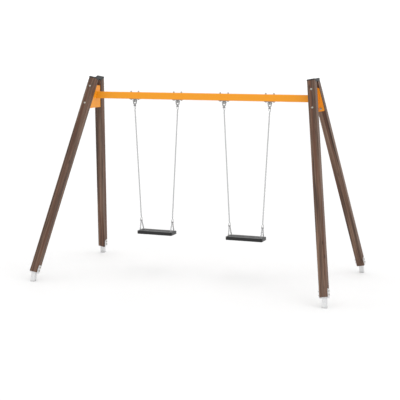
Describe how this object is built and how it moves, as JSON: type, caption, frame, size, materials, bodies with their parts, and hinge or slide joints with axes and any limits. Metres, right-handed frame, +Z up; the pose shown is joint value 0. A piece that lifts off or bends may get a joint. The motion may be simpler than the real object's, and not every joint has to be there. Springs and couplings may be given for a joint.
{
  "type": "swing set",
  "caption": "free-standing playground swing with splayed square wooden posts, a steel beam, bearing hangers, chains and flat rubber seats",
  "frame": {"origin": "on the ground, under the middle of the beam", "axes": "+X along the beam, to the right seen from the front; +Y towards the rear; +Z up"},
  "size_m": [3.5864, 1.896, 2.3714],
  "materials": {
    "wood": "weathered brown-grey glazed softwood, satin",
    "cap_plastic": "black moulded plastic",
    "galvanised": "hot-dip galvanised steel",
    "zinc": "bright zinc-plated steel",
    "orange_steel": "orange powder coat, semi-gloss",
    "stainless": "satin stainless steel",
    "bush_plastic": "natural white bearing plastic",
    "chain": "galvanised chain steel",
    "rubber": "black moulded rubber, matte",
    "core_steel": "steel insert plate"
  },
  "bodies": {
    "frame": {"beam": "orange_steel", "bracket_left": "orange_steel", "bracket_right": "orange_steel", "hanger_bolts": "zinc", "hanger_left_left": "stainless", "hanger_left_right": "stainless", "hanger_nuts": "zinc", "hanger_right_left": "stainless", "hanger_right_right": "stainless", "hanger_washers": "zinc", "pivot_bushes": "bush_plastic", "post_bolt_nuts": "zinc", "post_bolt_washers": "zinc", "post_bolts": "zinc", "post_cap_front_left": "cap_plastic", "post_cap_front_right": "cap_plastic", "post_cap_rear_left": "cap_plastic", "post_cap_rear_right": "cap_plastic", "post_front_left": "wood", "post_front_right": "wood", "post_rear_left": "wood", "post_rear_right": "wood", "post_shoe_front_left": "galvanised", "post_shoe_front_right": "galvanised", "post_shoe_rear_left": "galvanised", "post_shoe_rear_right": "galvanised", "shoe_bolts": "zinc", "shoe_nuts": "zinc"},
    "left_chain_set": {"left_yoke_left": "stainless", "left_yoke_right": "stainless", "left_axles": "stainless", "left_axle_nuts": "stainless", "left_shackles": "stainless", "left_shackle_pins": "stainless", "left_chain_left": "chain", "left_chain_right": "chain"},
    "left_seat_set": {"left_bridles_left": "chain", "left_bridles_right": "chain", "left_seat": "rubber", "left_seat_core": "core_steel", "left_eye_bolts": "stainless", "left_eye_nuts": "stainless", "left_eye_washers": "stainless"},
    "right_chain_set": {"right_yoke_left": "stainless", "right_yoke_right": "stainless", "right_axles": "stainless", "right_axle_nuts": "stainless", "right_shackles": "stainless", "right_shackle_pins": "stainless", "right_chain_left": "chain", "right_chain_right": "chain"},
    "right_seat_set": {"right_bridles_left": "chain", "right_bridles_right": "chain", "right_seat": "rubber", "right_seat_core": "core_steel", "right_eye_bolts": "stainless", "right_eye_nuts": "stainless", "right_eye_washers": "stainless"}
  },
  "joints": [
    {"name": "left_swing", "type": "hinge", "parent": "frame", "child": "left_chain_set", "pos_m": [-0.565, 0, 2.07894], "axis": [1, 0, 0], "range_deg": [-60, 60]},
    {"name": "left_seat_pitch", "type": "hinge", "parent": "left_chain_set", "child": "left_seat_set", "pos_m": [-0.565, 0, 0.63709], "axis": [1, 0, 0], "range_deg": [-35, 35]},
    {"name": "right_swing", "type": "hinge", "parent": "frame", "child": "right_chain_set", "pos_m": [0.565, 0, 2.07894], "axis": [1, 0, 0], "range_deg": [-60, 60]},
    {"name": "right_seat_pitch", "type": "hinge", "parent": "right_chain_set", "child": "right_seat_set", "pos_m": [0.565, 0, 0.63709], "axis": [1, 0, 0], "range_deg": [-35, 35]}
  ]
}
